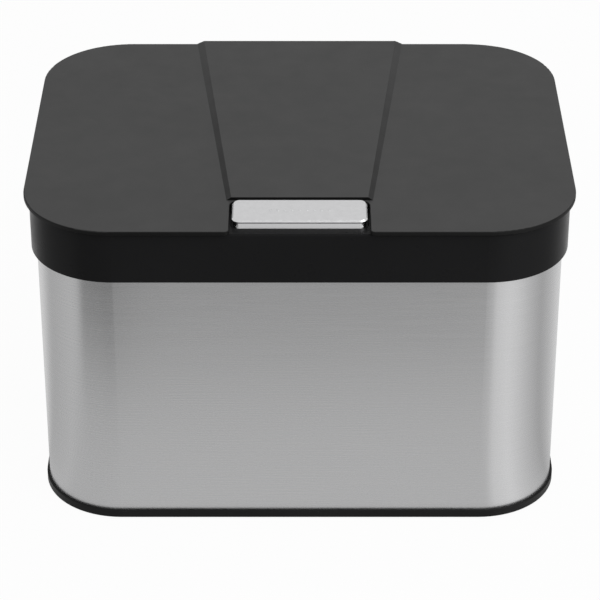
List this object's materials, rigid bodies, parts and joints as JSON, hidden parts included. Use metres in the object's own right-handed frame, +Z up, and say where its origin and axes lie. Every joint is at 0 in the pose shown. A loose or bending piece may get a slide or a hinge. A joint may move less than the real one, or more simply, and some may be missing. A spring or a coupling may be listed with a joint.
{
  "type": "compost caddy",
  "caption": "Countertop compost caddy: steel shell, hinged lid with push button and filter, and a bucket that lifts out.",
  "frame": {"origin": "on the floor under the middle of the lid", "axes": "+Z up, the front with the button faces -Y, +X to the right seen from the front"},
  "size_m": [0.26, 0.2038, 0.1639],
  "materials": {
    "lid_grey": "satin moulding with a fine texture",
    "button_chrome": "satin chromed cap with bright edges",
    "collar_black": "black moulding, softly glossy",
    "base_black": "black moulding",
    "brushed_shell": "horizontally brushed sheet",
    "bucket_grey": "dark moulding, fine texture",
    "inner_black": "black moulding inside the lid",
    "mechanism_white": "unpigmented sliding plastic",
    "seal_rubber": "soft grey silicone",
    "foot_rubber": "black rubber",
    "steel_parts": "plain steel",
    "filter_pad": "needled charcoal felt"
  },
  "bodies": {
    "root": {"base_tray": "base_black", "foot_front_left": "foot_rubber", "foot_front_right": "foot_rubber", "foot_rear_left": "foot_rubber", "foot_rear_right": "foot_rubber", "steel_shell": "brushed_shell", "collar": "collar_black", "inner_bucket": "bucket_grey", "latch_guide": "inner_black", "latch_screws": "steel_parts", "hinge_pin": "steel_parts", "lid_spring_left": "steel_parts", "lid_spring_right": "steel_parts", "button_spring_left": "steel_parts", "button_spring_right": "steel_parts"},
    "lid": {"lid_cover": "lid_grey", "lid_liner": "inner_black", "lid_seal": "seal_rubber", "lid_screws": "steel_parts", "lid_catch": "steel_parts", "charcoal_filter": "filter_pad"},
    "filter_door": {"filter_cover": "inner_black"},
    "button": {"push_button": "button_chrome", "button_carrier": "inner_black"},
    "latch": {"latch_bolt": "mechanism_white"}
  },
  "joints": [
    {"name": "lid_hinge", "type": "hinge", "parent": "root", "child": "lid", "pos_m": [0, 0.0986, 0.1566], "axis": [-1, 0, 0], "range_deg": [0, 90]},
    {"name": "button_press", "type": "slide", "parent": "root", "child": "button", "axis": [0, 0, -1], "range_m": [0, 0.003], "stiffness_N_per_m": 1000, "springref_m": -0.002, "deforming": ["button_spring_left", "button_spring_right"]},
    {"name": "latch_slide", "type": "slide", "parent": "root", "child": "latch", "axis": [0, -1, 0], "range_m": [0, 0.003]},
    {"name": "filter_cover_hinge", "type": "hinge", "parent": "lid", "child": "filter_door", "pos_m": [0, 0.0415, 0.1486], "axis": [1, 0, 0], "range_deg": [0, 90]}
  ],
  "couplings": [
    {"joint": "latch_slide", "follows": "button_press", "ratio": 1}
  ]
}
